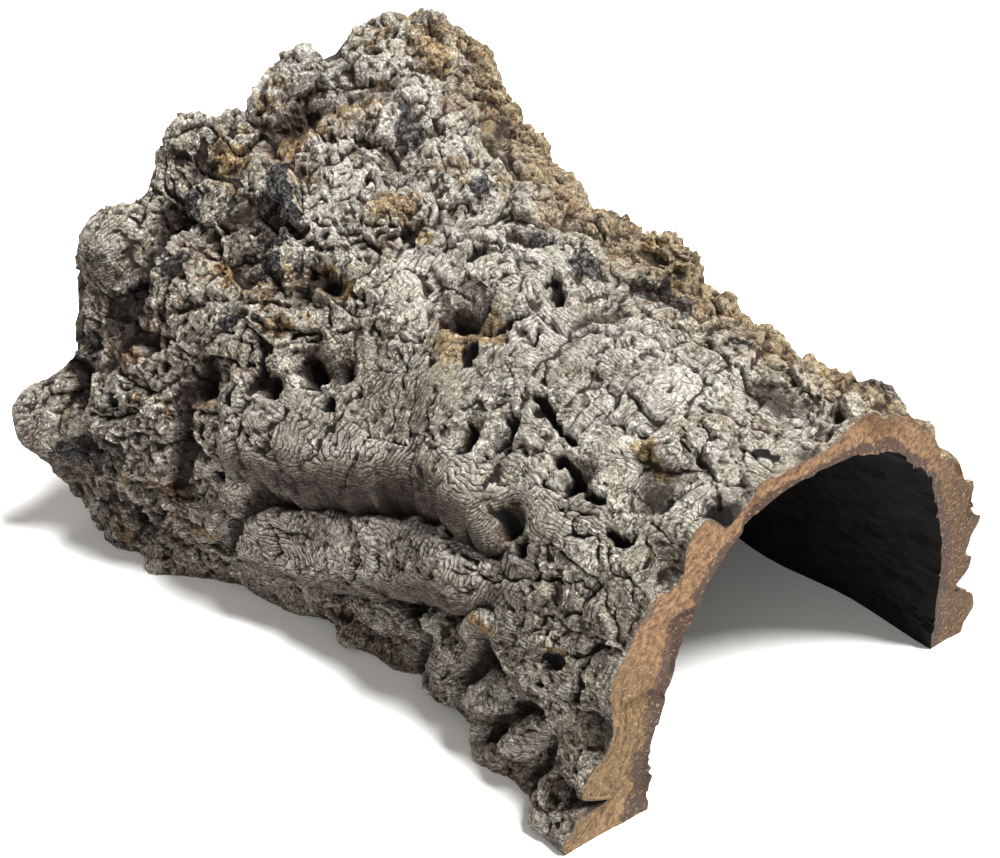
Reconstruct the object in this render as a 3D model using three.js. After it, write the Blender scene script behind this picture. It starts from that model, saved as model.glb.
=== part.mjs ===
// A cork bark cave: a half-round arch cut from natural virgin cork bark. It is sawn square at its front, torn
// at its back end, and stands on two flat-cut base edges. It grew as one piece, so it is one closed body.
// Millimetres, +X towards the sawn front, +Y towards the far wall, +Z up, its box's middle at the origin.
import * as THREE from "three";

// Overall sizes
const LENGTH = 322; // sawn front to back end
const THINNEST_WALL = 9;
const BOX_MIDDLE_Y = -58; // the box's middle, measured from the middle of the sawn front's opening
const MM_PER_DEGREE = { front: 2.3, back: 3.1 }; // length over the bark of one degree round

// The smooth arch at stations along it. at is the share of the length behind the front. near, far and crown
// are the outside's half widths and height about its centre line, square is how boxy its near side is, belly is
// the bulge low on its near side, and lean is how far the section leans over for each millimetre of height.
const STATIONS = [
  { at: 0.0, centre: -6, near: 116, far: 110, crown: 145, square: 2.2, belly: 0, lean: 0.03 },
  { at: 0.2, centre: -17, near: 102, far: 110, crown: 151, square: 2.2, belly: 4, lean: 0.03 },
  { at: 0.42, centre: -28, near: 96, far: 117, crown: 163, square: 2.25, belly: 14, lean: 0.06 },
  { at: 0.64, centre: -42, near: 114, far: 121, crown: 182, square: 2.4, belly: 24, lean: 0.12 },
  { at: 0.82, centre: -51, near: 132, far: 123, crown: 199, square: 2.5, belly: 30, lean: 0.2 },
  { at: 1.0, centre: -62, near: 130, far: 126, crown: 220, square: 2.6, belly: 32, lean: 0.29 },
];
// The tunnel's own half widths and height, about the same centre line
const TUNNEL = [
  { at: 0.0, near: 78, far: 90, crown: 133 },
  { at: 0.4, near: 64, far: 96, crown: 147 },
  { at: 1.0, near: 98, far: 108, crown: 196 },
];
const TUNNEL_SQUARE = 2.8; // how boxy the tunnel's near side is
const BELLY_MIDDLE = 36; // degrees up the near side
const BELLY_SPREAD = 20;
const TUNNEL_BELLY = 0.7; // share of the outside's belly that the tunnel follows

// Places on the bark are [millimetres behind the sawn front, degrees round from the near base edge].
// The two long laps that run along the near side: degrees round of each at places behind the sawn front
const LAPS = [
  { at: 322, lower: 12, upper: 32 },
  { at: 206, lower: 11, upper: 30 },
  { at: 190, lower: 13.5, upper: 32.5 },
  { at: 178, lower: 14.2, upper: 32 },
  { at: 158, lower: 15, upper: 35.5 },
  { at: 138, lower: 20, upper: 40.5 },
  { at: 120, lower: 24.5, upper: 45 },
  { at: 98, lower: 29, upper: 45 },
  { at: 80, lower: 33, upper: 45 },
  { at: 66, lower: 37, upper: 49 },
  { at: 0, lower: 38, upper: 52 },
];
const LAPS_RUN = { back: 206, front: 66 }; // where both laps end
// Rolls: layers of bark that lap over the one below. Each ends in a rounded lip along its path, given from
// the back to the front, and sinks away above it over its fade. cut is how deep the crevice under the lip is.
const ROLLS = [
  { path: lapPath("upper"), rise: 16, lip: 15, fade: 40, cut: 12, gap: 6 },
  { path: lapPath("lower"), rise: 14, lip: 13, fade: 30, cut: 7, gap: 6 },
  { path: [[262, 45], [240, 50], [220, 53]], rise: 7, lip: 9, fade: 22, cut: 4, gap: 5 },
  { path: [[46, 70], [32, 70], [14, 76]], rise: 6, lip: 7, fade: 20, cut: 3, gap: 6 },
  { path: [[300, 28], [286, 24], [262, 20], [240, 14]], rise: 9, lip: 10, fade: 26, cut: 5, gap: 6 },
  { path: [[130, 112], [100, 112], [70, 114], [40, 111]], rise: 7, lip: 9, fade: 24, cut: 4, gap: 6 },
];
// Crevices: narrow cuts between lumps
const CREVICES = [
  { path: [[176, 33], [190, 28], [200, 22], [214, 13]], depth: 14, width: 6 },
  { path: [[43, 20], [51, 13], [60, 5]], depth: 10, width: 5 },
  { path: [[24, 17], [32, 4]], depth: 10, width: 5 },
  { path: [[68, 26], [78, 14], [75, 1]], depth: 10, width: 5 },
  { path: [[-6, 10.5], [14, 11]], depth: 15, width: 5 },
  { path: [[112, 24], [106, 14], [112, 2]], depth: 9, width: 6 },
  { path: [[236, 20], [228, 32], [236, 42]], depth: 6, width: 6 },
  { path: [[300, 48], [280, 43], [262, 40]], depth: 7, width: 6 },
];
// Lumps: place, half sizes along and round, and height, all in millimetres but the degrees
const LUMPS = [
  { at: [63, 14], along: 9, round: 14, height: 9 },
  { at: [40, 10], along: 9, round: 12, height: 8 },
  { at: [17, 5], along: 8, round: 14, height: 8 },
  { at: [3, 2], along: 8, round: 8, height: 5 },
  { at: [69, 32.5], along: 8, round: 5, height: 8 },
  { at: [97, 25], along: 4, round: 8, height: 8 },
  { at: [133, 13], along: 9, round: 9, height: 7 },
  { at: [147, 4], along: 8, round: 8, height: 8 },
  { at: [252, 1], along: 10, round: 9, height: 4 },
  { at: [55, 0], along: 8, round: 9, height: 5 },
  { at: [126, 0], along: 8, round: 8, height: 4 },
  { at: [93, 10], along: 12, round: 14, height: 6 },
  { at: [177, 68], along: 12, round: 12, height: 4 },
  { at: [54, 79.5], along: 11, round: 11, height: 3 },
  { at: [212, 76], along: 10, round: 10, height: 6 },
  { at: [60, 104], along: 10, round: 9, height: 7 },
  { at: [97, 107], along: 11, round: 9, height: 12 },
  { at: [139, 106], along: 12, round: 9, height: 8 },
  { at: [114, 107], along: 10, round: 8, height: 11 },
  { at: [178, 106], along: 12, round: 10, height: 4 },
  { at: [225, 103], along: 13, round: 11, height: 6 },
  { at: [275, 105], along: 14, round: 12, height: 8 },
  { at: [318, 19.5], along: 16, round: 22, height: 30 },
  { at: [317, 8], along: 12, round: 13, height: 12 },
  { at: [317, 29], along: 9, round: 6, height: 6 },
  { at: [312, 45.5], along: 16, round: 17, height: 30 },
  { at: [318, 57], along: 12, round: 14, height: 22 },
  { at: [309, 63.5], along: 12, round: 10, height: 12 },
  { at: [314, 73], along: 13, round: 13, height: 13 },
  { at: [311, 89], along: 15, round: 17, height: 10 },
  { at: [304, 103], along: 15, round: 13, height: 6 },
  { at: [0, 75], along: 10, round: 5, height: 5 },
  { at: [0, 63], along: 9, round: 7, height: 6 },
  { at: [2, 94], along: 12, round: 7, height: 6 },
  { at: [2, 171], along: 12, round: 9, height: 6.5 },
  { at: [18, 105], along: 10, round: 9, height: 4 },
];
// Hollows: place, half sizes along and round, and depth
const HOLLOWS = [
  { at: [147, 71.5], along: 9, round: 6, depth: 11 },
  { at: [188, 52], along: 7, round: 5, depth: 10 },
  { at: [176, 55], along: 6, round: 6, depth: 7 },
  { at: [198, 46], along: 7, round: 5, depth: 9 },
  { at: [227, 41], along: 5, round: 8, depth: 10 },
  { at: [168, 80], along: 5, round: 10, depth: 8 },
  { at: [210, 63.5], along: 9, round: 5, depth: 8 },
  { at: [258, 14], along: 6, round: 9, depth: 10 },
  { at: [222, 0], along: 11, round: 10, depth: 6 },
  { at: [86, 0], along: 9, round: 10, depth: 6 },
  { at: [266, 116], along: 18, round: 12, depth: 6 },
  { at: [236, 114], along: 9, round: 10, depth: 4 },
  { at: [167, 0], along: 10, round: 10, depth: 7 },
  { at: [2, 111], along: 9, round: 9, depth: 5 },
  { at: [273, 37], along: 5, round: 7, depth: 8 },
  { at: [293, 73], along: 9, round: 8, depth: 9 },
  { at: [95, 60], along: 4, round: 9, depth: 9 },
  { at: [108, 58], along: 4, round: 7, depth: 6 },
  { at: [75, 51], along: 7, round: 7, depth: 10 },
  { at: [56, 61.5], along: 5, round: 6, depth: 8 },
  { at: [36, 22], along: 6, round: 5, depth: 8 },
  { at: [118, 21], along: 8, round: 7, depth: 8 },
  { at: [63, 25], along: 7, round: 6, depth: 8 },
  { at: [31, 65.5], along: 9, round: 8, depth: 8 },
  { at: [28, 91], along: 12, round: 8, depth: 7 },
  { at: [4, 68], along: 7, round: 5, depth: 9 },
  { at: [0, 27], along: 12, round: 15, depth: 9 },
  { at: [0, 56], along: 9, round: 6, depth: 6 },
  { at: [0, 84], along: 6, round: 6, depth: 6 },
  { at: [0, 118], along: 9, round: 8, depth: 7 },
  { at: [0, 131], along: 9, round: 6, depth: 7 },
  { at: [0, 151], along: 9, round: 7, depth: 7 },
  { at: [0, 162], along: 8, round: 5, depth: 9 },
  { at: [318, 80], along: 9, round: 6, depth: 7 },
  { at: [320, 65], along: 8, round: 5, depth: 3 },
  { at: [318, 31], along: 9, round: 9, depth: 10 },
];

// Crumbly bark: rounded lumps with sharp creases between them, and smaller breaks where pieces of its layers
// have come away. The rolls' side is smoother than the back and the far side.
const CRUMBS = { size: 44, height: 11, seed: 3 };
const BREAKS = [
  { size: 24, depth: 7.5, seed: 7 },
  { size: 13, depth: 4, seed: 13 },
];
const CRUMB_SHARE_ON_ROLLS = 0.3;
const CRUMB_SHARE_AT_FRONT = 0.6;
const SWELL = { size: 70, height: 5, seed: 21 };
const WANDER = { size: 30, reach: 7, seed: 31 }; // how far the pattern wanders from straight rows
const DEGREE_IN_PATTERN = 2.7; // millimetres a degree round stands for in the patterns
const TORN_BACK = { size: 34, reach: 9, seed: 41 }; // how far the back end's edge is torn in
const TUNNEL_SWELL = { size: 46, height: 3, seed: 51 };

// How finely the body is divided. The columns that run along the bark follow the two laps.
const OUTSIDE_STEPS = { along: 64, toLower: 9, toUpper: 18, round: 76 };
const TUNNEL_STEPS = { along: 16, round: 38 };

/** A lap's path over the bark, from its back end to its front end. */
function lapPath(name) {
  const run = LAPS.filter(({ at }) => at <= LAPS_RUN.back && at >= LAPS_RUN.front);
  return run.map((place) => [place.at, place[name]]);
}

/** Degrees round of a lap, on its path and on the straight lines that carry it on past its ends. */
function lapDegrees(name, s) {
  let i = 0;
  while (i < LAPS.length - 2 && s < LAPS[i + 1].at) i += 1;
  const share = THREE.MathUtils.clamp((LAPS[i].at - s) / (LAPS[i].at - LAPS[i + 1].at), 0, 1);
  return THREE.MathUtils.lerp(LAPS[i][name], LAPS[i + 1][name], share);
}

/** Degrees round of a column of the outside, where the columns bunch so that one lies along each lap. */
function columnDegrees(column, s) {
  const { toLower, toUpper, round } = OUTSIDE_STEPS;
  const lower = lapDegrees("lower", s);
  const upper = lapDegrees("upper", s);
  if (column <= toLower) return (lower * column) / toLower;
  if (column <= toUpper) return THREE.MathUtils.mapLinear(column, toLower, toUpper, lower, upper);
  return THREE.MathUtils.mapLinear(column, toUpper, round, upper, 180);
}

/** 0 below low, 1 above high, and an even curve between them. */
function smooth(low, high, value) {
  return THREE.MathUtils.smoothstep(value, low, high);
}

/** A size between the stations of a list, on a curve whose slope at each station is set by its neighbours. */
function sizeAt(list, name, share) {
  let i = 0;
  while (i < list.length - 2 && share > list[i + 1].at) i += 1;
  const slope = (k) => {
    const low = list[Math.max(k - 1, 0)];
    const high = list[Math.min(k + 1, list.length - 1)];
    return (high[name] - low[name]) / (high.at - low.at);
  };
  const span = list[i + 1].at - list[i].at;
  const t = (share - list[i].at) / span;
  const bend = t * t * (3 - 2 * t);
  return (
    list[i][name] * (1 - bend) +
    list[i + 1][name] * bend +
    span * t * (1 - t) * ((1 - t) * slope(i) - t * slope(i + 1))
  );
}

/** A seeded random number from 0 to 1 for a crossing of a pattern's lattice. */
function draw(i, j, seed) {
  let n = Math.imul(i, 374761393) + Math.imul(j, 668265263) + Math.imul(seed, 1274126177);
  n = Math.imul(n ^ (n >>> 13), 1103515245);
  return ((n ^ (n >>> 16)) >>> 0) / 4294967296;
}

/** Smooth seeded noise from -1 to 1, with hills about one size apart. */
function noise(s, t, size, seed) {
  const i = Math.floor(s / size);
  const j = Math.floor(t / size);
  const u = smooth(0, 1, s / size - i);
  const v = smooth(0, 1, t / size - j);
  const low = THREE.MathUtils.lerp(draw(i, j, seed), draw(i + 1, j, seed), u);
  const high = THREE.MathUtils.lerp(draw(i, j + 1, seed), draw(i + 1, j + 1, seed), u);
  return 2 * THREE.MathUtils.lerp(low, high, v) - 1;
}

/** Millimetres over the bark for one degree round, at a place s behind the front. */
function degreeLength(s) {
  return THREE.MathUtils.lerp(MM_PER_DEGREE.front, MM_PER_DEGREE.back, s / LENGTH);
}

/** How far a place is from a path, which side it is on (1 towards the crown), and its share along it. */
function fromPath(path, s, a) {
  const scale = degreeLength(s);
  let nearest = { off: Infinity, side: 1, along: 0 };
  for (let k = 0; k < path.length - 1; k += 1) {
    const runS = path[k + 1][0] - path[k][0];
    const runA = (path[k + 1][1] - path[k][1]) * scale;
    const toS = s - path[k][0];
    const toA = (a - path[k][1]) * scale;
    const raw = (toS * runS + toA * runA) / (runS * runS + runA * runA);
    const share = THREE.MathUtils.clamp(raw, 0, 1);
    const off = Math.hypot(toS - share * runS, toA - share * runA);
    if (off < nearest.off) {
      const side = runS * toA - runA * toS > 0 ? -1 : 1;
      nearest = { off, side, along: (k + share) / (path.length - 1) };
    }
  }
  return nearest;
}

/** The height that a roll adds: a rounded lip above its path, fading upwards, and a crevice below it. */
function rollHeight(roll, s, a) {
  const { off, side, along } = fromPath(roll.path, s, a);
  const ends = smooth(0, 0.14, along) * smooth(0, 0.14, 1 - along);
  const crevice = roll.cut * Math.exp(-((off / roll.gap) ** 2));
  if (side < 0) return -crevice * ends;
  const rounding = Math.sqrt(1 - (1 - Math.min(off / roll.lip, 1)) ** 2);
  return (roll.rise * rounding * Math.exp(-off / roll.fade) - crevice) * ends;
}

function creviceDepth(crevice, s, a) {
  const { off } = fromPath(crevice.path, s, a);
  return crevice.depth * Math.exp(-((off / crevice.width) ** 2));
}

/** How much of a lump or a hollow a place has: 1 in its middle, 0 outside, with steep sides. */
function moundShare(mound, s, a) {
  const alongShare = (s - mound.at[0]) / mound.along;
  const roundShare = ((a - mound.at[1]) * degreeLength(s)) / mound.round;
  return Math.exp(-((alongShare ** 2 + roundShare ** 2) ** 1.5) * 0.7);
}

/** How crumbly the bark is: full at the back, over the crown and down the far side, less on the rolls. */
function crumbShare(s, a) {
  const back = smooth(180, 235, s + 0.5 * (a - 45));
  const over = smooth(84, 102, a);
  const top = 0.6 * smooth(60, 80, a) * smooth(60, 130, s);
  const byFront = THREE.MathUtils.lerp(CRUMB_SHARE_AT_FRONT, 1, smooth(0, 45, s));
  return THREE.MathUtils.lerp(CRUMB_SHARE_ON_ROLLS, 1, Math.max(back, over, top)) * byFront;
}

/** The relief of the bark's outside at a place: millimetres out from the smooth arch. */
function relief(s, a) {
  const t = a * DEGREE_IN_PATTERN;
  const s2 = s + WANDER.reach * noise(s, t, WANDER.size, WANDER.seed);
  const t2 = t + WANDER.reach * noise(s, t, WANDER.size, WANDER.seed + 1);
  let height = SWELL.height * noise(s, t, SWELL.size, SWELL.seed);
  let crumbs = CRUMBS.height * (Math.abs(noise(s2, t2, CRUMBS.size, CRUMBS.seed)) - 0.3);
  for (const { size, depth, seed } of BREAKS) {
    crumbs -= depth * (0.6 - smooth(-0.4, 0.15, noise(s2, t2, size, seed)));
  }
  height += crumbs * crumbShare(s, a);
  for (const roll of ROLLS) height += rollHeight(roll, s, a);
  for (const crevice of CREVICES) height -= creviceDepth(crevice, s, a);
  for (const lump of LUMPS) height += lump.height * moundShare(lump, s, a);
  for (const hollow of HOLLOWS) height -= hollow.depth * moundShare(hollow, s, a);
  return height;
}

/** A place in the section at a share of the length: radius out at an angle, leaned over, flat at the bases. */
function placeAt(share, degrees, radius) {
  const angle = THREE.MathUtils.degToRad(degrees);
  const z = degrees === 0 || degrees === 180 ? 0 : radius * Math.sin(angle);
  const middle = sizeAt(STATIONS, "centre", share) + sizeAt(STATIONS, "lean", share) * z;
  const y = middle - radius * Math.cos(angle);
  return { y, z };
}

/** The radius of a half ellipse, boxier for a higher power, at an angle. */
function ellipseRadius(half, crown, power, degrees) {
  const angle = THREE.MathUtils.degToRad(degrees);
  const across = Math.abs(Math.cos(angle) / half) ** power;
  const up = Math.abs(Math.sin(angle) / crown) ** power;
  return (across + up) ** (-1 / power);
}

function tunnelRadius(share, degrees) {
  const side = degrees < 90 ? "near" : "far";
  const half = sizeAt(TUNNEL, side, share);
  const belly = TUNNEL_BELLY * sizeAt(STATIONS, "belly", share);
  const { size, height, seed } = TUNNEL_SWELL;
  const swell = height * noise(share * LENGTH, degrees * 2, size, seed);
  return (
    ellipseRadius(half, sizeAt(TUNNEL, "crown", share), side === "near" ? TUNNEL_SQUARE : 2, degrees) +
    belly * Math.exp(-(((degrees - BELLY_MIDDLE) / BELLY_SPREAD) ** 2)) +
    swell
  );
}

function barkRadius(share, degrees) {
  const near = degrees < 90;
  const half = sizeAt(STATIONS, near ? "near" : "far", share);
  const power = near ? sizeAt(STATIONS, "square", share) : 2;
  const belly = sizeAt(STATIONS, "belly", share) * Math.exp(-(((degrees - BELLY_MIDDLE) / BELLY_SPREAD) ** 2));
  const smoothRadius = ellipseRadius(half, sizeAt(STATIONS, "crown", share), power, degrees) + belly;
  const rough = smoothRadius + relief(share * LENGTH, degrees);
  return Math.max(rough, tunnelRadius(share, degrees) + THINNEST_WALL);
}

/** Rows of corner numbers over one skin of the bark, added to the list of corners. */
function skin(corners, steps, radiusAt, degreesAt, tornShare) {
  const rows = [];
  for (let i = 0; i <= steps.along; i += 1) {
    const row = [];
    const share = i / steps.along;
    for (let j = 0; j <= steps.round; j += 1) {
      const degrees = degreesAt(j, share * LENGTH);
      const { y, z } = placeAt(share, degrees, radiusAt(share, degrees));
      const run = noise(degrees * DEGREE_IN_PATTERN, 0, TORN_BACK.size, TORN_BACK.seed);
      const torn = tornShare * TORN_BACK.reach * (0.5 + 0.5 * run) * smooth(0.8, 1, share);
      const x = LENGTH / 2 - share * LENGTH + torn;
      row.push(corners.length / 3);
      corners.push(x, y - BOX_MIDDLE_Y, z);
    }
    rows.push(row);
  }
  return rows;
}

/** Triangles over a skin's rows, facing out or, for the tunnel, in. */
function coverSkin(faces, rows, facesOut) {
  for (let i = 0; i < rows.length - 1; i += 1) {
    for (let j = 0; j < rows[0].length - 1; j += 1) {
      const [a, b, c, d] = [rows[i][j], rows[i][j + 1], rows[i + 1][j + 1], rows[i + 1][j]];
      const turn = (i + j) % 2 === 0;
      const pair = turn ? [[a, b, c], [a, c, d]] : [[a, b, d], [b, c, d]];
      for (const [p, q, r] of pair) faces.push(...(facesOut ? [p, q, r] : [p, r, q]));
    }
  }
}

/** Triangles between an edge of the outside and the tunnel's edge facing it, taken on by whichever lags. */
function joinEdges(faces, outside, tunnel, turned) {
  let i = 0;
  let j = 0;
  while (i < outside.length - 1 || j < tunnel.length - 1) {
    const nextOutside = (i + 1) / (outside.length - 1);
    const nextTunnel = (j + 1) / (tunnel.length - 1);
    const stepOutside = j === tunnel.length - 1 || (i < outside.length - 1 && nextOutside <= nextTunnel);
    const third = stepOutside ? outside[i + 1] : tunnel[j + 1];
    faces.push(...(turned ? [outside[i], third, tunnel[j]] : [outside[i], tunnel[j], third]));
    if (stepOutside) i += 1;
    else j += 1;
  }
}

function corkBark() {
  const corners = [];
  const faces = [];
  const tunnelDegrees = (column) => (180 * column) / TUNNEL_STEPS.round;
  const outside = skin(corners, OUTSIDE_STEPS, barkRadius, columnDegrees, 1);
  const tunnel = skin(corners, TUNNEL_STEPS, tunnelRadius, tunnelDegrees, 0.4);
  coverSkin(faces, outside, true);
  coverSkin(faces, tunnel, false);
  joinEdges(faces, outside[0], tunnel[0], false);
  joinEdges(faces, outside.at(-1), tunnel.at(-1), true);
  const edge = (rows, column) => rows.map((row) => row.at(column));
  joinEdges(faces, edge(outside, 0), edge(tunnel, 0), true);
  joinEdges(faces, edge(outside, -1), edge(tunnel, -1), false);
  const geometry = new THREE.BufferGeometry();
  geometry.setAttribute("position", new THREE.Float32BufferAttribute(corners, 3));
  geometry.setIndex(faces);
  geometry.computeVertexNormals();
  return geometry;
}

const bark = new THREE.MeshStandardMaterial({ color: 0x968d80, roughness: 0.92, metalness: 0 });
const cave = new THREE.Group();
const corkBarkMesh = new THREE.Mesh(corkBark(), bark);
corkBarkMesh.name = "cork_bark";
cave.add(corkBarkMesh);

export default cave;
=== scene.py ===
"""The looks of the cork bark cave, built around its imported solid.

The bark is one closed piece that stands for the solid. Its form is the solid's own formula, worked out on a
fine grid, with finer cracks, plates, holes and crumbs added. Places on the bark are (millimetres behind the
sawn front, degrees round from the near base edge). Sizes are in millimetres until the mesh is made.
"""

import bpy
import numpy as np
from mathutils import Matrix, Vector


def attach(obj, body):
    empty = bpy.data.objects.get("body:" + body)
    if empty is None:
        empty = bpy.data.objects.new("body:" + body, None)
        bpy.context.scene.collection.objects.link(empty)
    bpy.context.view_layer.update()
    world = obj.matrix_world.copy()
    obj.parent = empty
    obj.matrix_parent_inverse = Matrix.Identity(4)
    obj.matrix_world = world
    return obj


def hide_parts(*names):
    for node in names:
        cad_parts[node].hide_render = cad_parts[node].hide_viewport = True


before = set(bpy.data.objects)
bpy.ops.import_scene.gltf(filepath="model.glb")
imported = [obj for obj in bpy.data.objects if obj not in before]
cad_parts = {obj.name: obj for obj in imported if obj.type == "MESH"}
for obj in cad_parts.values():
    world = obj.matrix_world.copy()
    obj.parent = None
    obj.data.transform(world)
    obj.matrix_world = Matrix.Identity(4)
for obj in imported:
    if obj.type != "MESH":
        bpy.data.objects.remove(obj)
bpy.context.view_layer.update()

# The solid's own sizes
LENGTH = 322.0
THINNEST_WALL = 9.0
BOX_MIDDLE_Y = -58.0
DEGREE_FRONT, DEGREE_BACK = 2.3, 3.1
STATIONS = {
    "at": (0.0, 0.2, 0.42, 0.64, 0.82, 1.0),
    "centre": (-6, -17, -28, -42, -51, -62),
    "near": (116, 102, 96, 114, 132, 130),
    "far": (110, 110, 117, 121, 123, 126),
    "crown": (145, 151, 163, 182, 199, 220),
    "square": (2.2, 2.2, 2.25, 2.4, 2.5, 2.6),
    "belly": (0, 4, 14, 24, 30, 32),
    "lean": (0.03, 0.03, 0.06, 0.12, 0.2, 0.29),
}
TUNNEL = {
    "at": (0.0, 0.4, 1.0),
    "near": (78, 64, 98),
    "far": (90, 96, 108),
    "crown": (133, 147, 196),
}
TUNNEL_SQUARE = 2.8
BELLY_MIDDLE, BELLY_SPREAD = 36.0, 20.0
TUNNEL_BELLY = 0.7
LAPS = {
    "at": (206, 190, 178, 158, 138, 120, 98, 80, 66),
    "lower": (11, 13.5, 14.2, 15, 20, 24.5, 29, 33, 37),
    "upper": (30, 32.5, 32, 35.5, 40.5, 45, 45, 45, 49),
}
UPPER_LAP = tuple(zip(LAPS["at"], LAPS["upper"]))
LOWER_LAP = tuple(zip(LAPS["at"], LAPS["lower"]))

# path, rise, lip, fade, cut, gap, and how far the lip hangs over the crevice below it
ROLLS = (
    (UPPER_LAP, 16, 15, 40, 12, 6, 6),
    (LOWER_LAP, 14, 13, 30, 7, 6, 5),
    (((262, 45), (240, 50), (220, 53)), 7, 9, 22, 4, 5, 3),
    (((46, 70), (32, 70), (14, 76)), 6, 7, 20, 3, 6, 2),
    (((300, 28), (286, 24), (262, 20), (240, 14)), 9, 10, 26, 5, 6, 4),
    (((130, 112), (100, 112), (70, 114), (40, 111)), 7, 9, 24, 4, 6, 0),
)
# path, depth, width
CREVICES = (
    (((176, 33), (190, 28), (200, 22), (214, 13)), 14, 6),
    (((43, 20), (51, 13), (60, 5)), 10, 5),
    (((24, 17), (32, 4)), 10, 5),
    (((68, 26), (78, 14), (75, 1)), 10, 5),
    (((-6, 10.5), (14, 11)), 15, 5),
    (((112, 24), (106, 14), (112, 2)), 9, 6),
    (((236, 20), (228, 32), (236, 42)), 6, 6),
    (((300, 48), (280, 43), (262, 40)), 7, 6),
)
# millimetres behind the front, degrees round, half sizes along and round, height
LUMPS = (
    (63, 14, 9, 14, 9), (40, 10, 9, 12, 8), (17, 5, 8, 14, 8), (3, 2, 8, 8, 5), (69, 32.5, 8, 5, 8),
    (97, 25, 4, 8, 8), (133, 13, 9, 9, 7), (147, 4, 8, 8, 8), (252, 1, 10, 9, 4), (55, 0, 8, 9, 5),
    (126, 0, 8, 8, 4), (93, 10, 12, 14, 6), (177, 68, 12, 12, 4), (54, 79.5, 11, 11, 3),
    (212, 76, 10, 10, 6), (60, 104, 10, 9, 7), (97, 107, 11, 9, 12), (139, 106, 12, 9, 8),
    (114, 107, 10, 8, 11), (178, 106, 12, 10, 4), (225, 103, 13, 11, 6), (275, 105, 14, 12, 8),
    (318, 19.5, 16, 22, 30), (317, 8, 12, 13, 12), (317, 29, 9, 6, 6), (312, 45.5, 16, 17, 30),
    (318, 57, 12, 14, 22), (309, 63.5, 12, 10, 12), (314, 73, 13, 13, 13), (311, 89, 15, 17, 10),
    (304, 103, 15, 13, 6), (0, 75, 10, 5, 5), (0, 63, 9, 7, 6), (2, 94, 12, 7, 6), (2, 171, 12, 9, 6.5),
    (18, 105, 10, 9, 4),
)
HOLLOWS = (
    (147, 71.5, 9, 6, 11), (188, 52, 7, 5, 10), (176, 55, 6, 6, 7), (198, 46, 7, 5, 9), (227, 41, 5, 8, 10),
    (168, 80, 5, 10, 8), (210, 63.5, 9, 5, 8), (258, 14, 6, 9, 10), (222, 0, 11, 10, 6), (86, 0, 9, 10, 6),
    (266, 116, 18, 12, 6), (236, 114, 9, 10, 4), (167, 0, 10, 10, 7), (2, 111, 9, 9, 5), (273, 37, 5, 7, 8),
    (293, 73, 9, 8, 9), (95, 60, 4, 9, 9), (108, 58, 4, 7, 6), (75, 51, 7, 7, 10), (56, 61.5, 5, 6, 8),
    (36, 22, 6, 5, 8), (118, 21, 8, 7, 8), (63, 25, 7, 6, 8), (31, 65.5, 9, 8, 8), (28, 91, 12, 8, 7),
    (4, 68, 7, 5, 9), (0, 27, 12, 15, 9), (0, 56, 9, 6, 6), (0, 84, 6, 6, 6), (0, 118, 9, 8, 7),
    (0, 131, 9, 6, 7), (0, 151, 9, 7, 7), (0, 162, 8, 5, 9), (318, 80, 9, 6, 7), (320, 65, 8, 5, 3),
    (318, 31, 9, 9, 10),
)
CRUMBS = (44, 11, 3)  # size, height, seed
BREAKS = ((24, 7.5, 7), (13, 4, 13))  # size, depth, seed
CRUMB_SHARE_ON_ROLLS = 0.3
CRUMB_SHARE_AT_FRONT = 0.6
SWELL = (70, 5, 21)
WANDER = (30, 7, 31)
DEGREE_IN_PATTERN = 2.7
TORN_BACK = (34, 9, 41)
TUNNEL_SWELL = (46, 3, 51)

# Small holes seen on the bark: place, half sizes along and round, depth
HOLES = (
    (170, 49.5, 3.2, 3, 6), (183, 50, 4, 2.5, 5), (205, 48, 3, 4, 5), (190, 45, 2, 2, 4),
    (205, 42, 3, 4, 5), (268, 56.5, 6, 2, 6), (263, 31, 4, 3, 5), (262, 24, 4.5, 4.5, 6),
    (206, 29, 3, 3, 5), (218, 35, 3, 3, 5), (232, 33, 3, 3, 5), (305, 65, 4, 4, 6),
    (206, 72, 2.5, 2.5, 4), (197, 75, 4, 3, 5), (132, 67.5, 6, 3.6, 7), (157, 66, 2, 2, 4),
    (160, 82, 3, 3, 5), (63, 82.5, 1.6, 1.6, 3), (88, 67, 3, 4, 5), (64, 48, 4, 4, 6),
    (30, 34.5, 5, 4, 4), (32, 29.5, 1.6, 1.6, 3), (37, 38, 3, 2, 4), (227, 41, 3.4, 6, 8),
    (210, 63.5, 6, 3, 6), (36, 22, 5, 3.4, 7), (4, 68, 6, 4, 8), (258, 14, 4, 6, 8),
    (76, 50.5, 5, 4.4, 4), (86, 46.5, 2.2, 1.8, 4), (66, 48, 2.6, 4, 6), (95, 43, 2.6, 1.8, 4),
    (149, 70.6, 5, 3.6, 5), (188, 52, 4.5, 3.4, 5), (118, 21, 4, 4.4, 5),
)
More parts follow.
